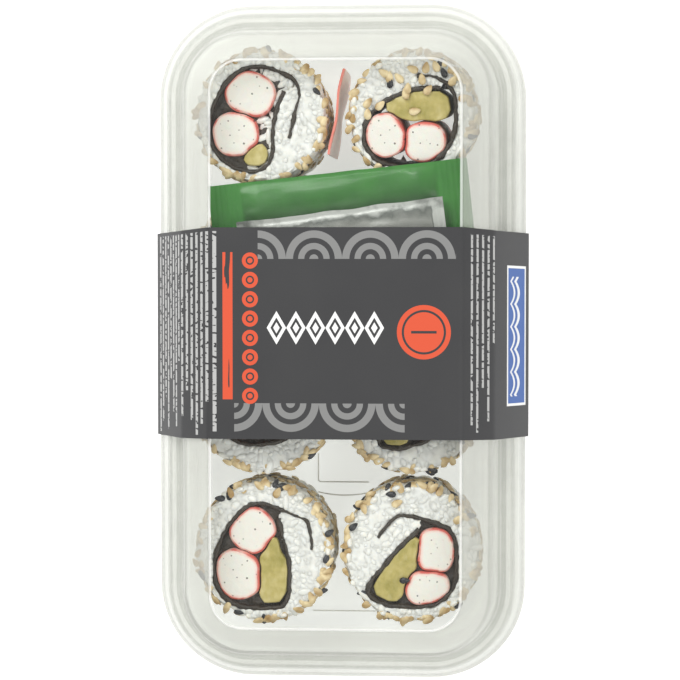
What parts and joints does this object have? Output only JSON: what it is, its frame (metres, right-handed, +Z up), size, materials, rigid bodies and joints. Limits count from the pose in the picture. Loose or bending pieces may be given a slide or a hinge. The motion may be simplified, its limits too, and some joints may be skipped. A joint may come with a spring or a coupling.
{
  "type": "packed uramaki rolls",
  "caption": "Uramaki rolls with crab sticks and green pickle in a shut clear tray with a raised lid, two sachets and a dark card sleeve.",
  "frame": {"origin": "middle of the pack's footprint on the table, at the height of the sleeve's underside", "axes": "+Y along the pack's length, +X across it, +Z up out of the lid"},
  "size_m": [0.1046, 0.188, 0.0378],
  "materials": {
    "clear_plastic": "clear gloss",
    "dark_card": "printed satin card",
    "green_film": "printed film",
    "silver_film": "cloudy film",
    "rice": "moist rice",
    "nori": "dark dried seaweed",
    "stick": "moist, red outside and white inside",
    "pickle": "moist",
    "pink_slice": "moist"
  },
  "bodies": {
    "root": {"tray": "clear_plastic", "lid": "clear_plastic", "sleeve": "dark_card", "green_sachet": "green_film", "grey_sachet": "silver_film", "pink_slice": "pink_slice", "rice_11": "rice", "nori_11": "nori", "stick_a_11": "stick", "stick_b_11": "stick", "pickle_11": "pickle", "rice_12": "rice", "nori_12": "nori", "stick_a_12": "stick", "stick_b_12": "stick", "pickle_12": "pickle", "rice_21": "rice", "nori_21": "nori", "stick_a_21": "stick", "stick_b_21": "stick", "pickle_21": "pickle", "rice_22": "rice", "nori_22": "nori", "stick_a_22": "stick", "stick_b_22": "stick", "pickle_22": "pickle", "rice_31": "rice", "nori_31": "nori", "stick_a_31": "stick", "stick_b_31": "stick", "pickle_31": "pickle", "rice_32": "rice", "nori_32": "nori", "stick_a_32": "stick", "stick_b_32": "stick", "pickle_32": "pickle", "rice_41": "rice", "nori_41": "nori", "stick_a_41": "stick", "stick_b_41": "stick", "pickle_41": "pickle", "rice_42": "rice", "nori_42": "nori", "stick_a_42": "stick", "stick_b_42": "stick", "pickle_42": "pickle"}
  },
  "joints": []
}
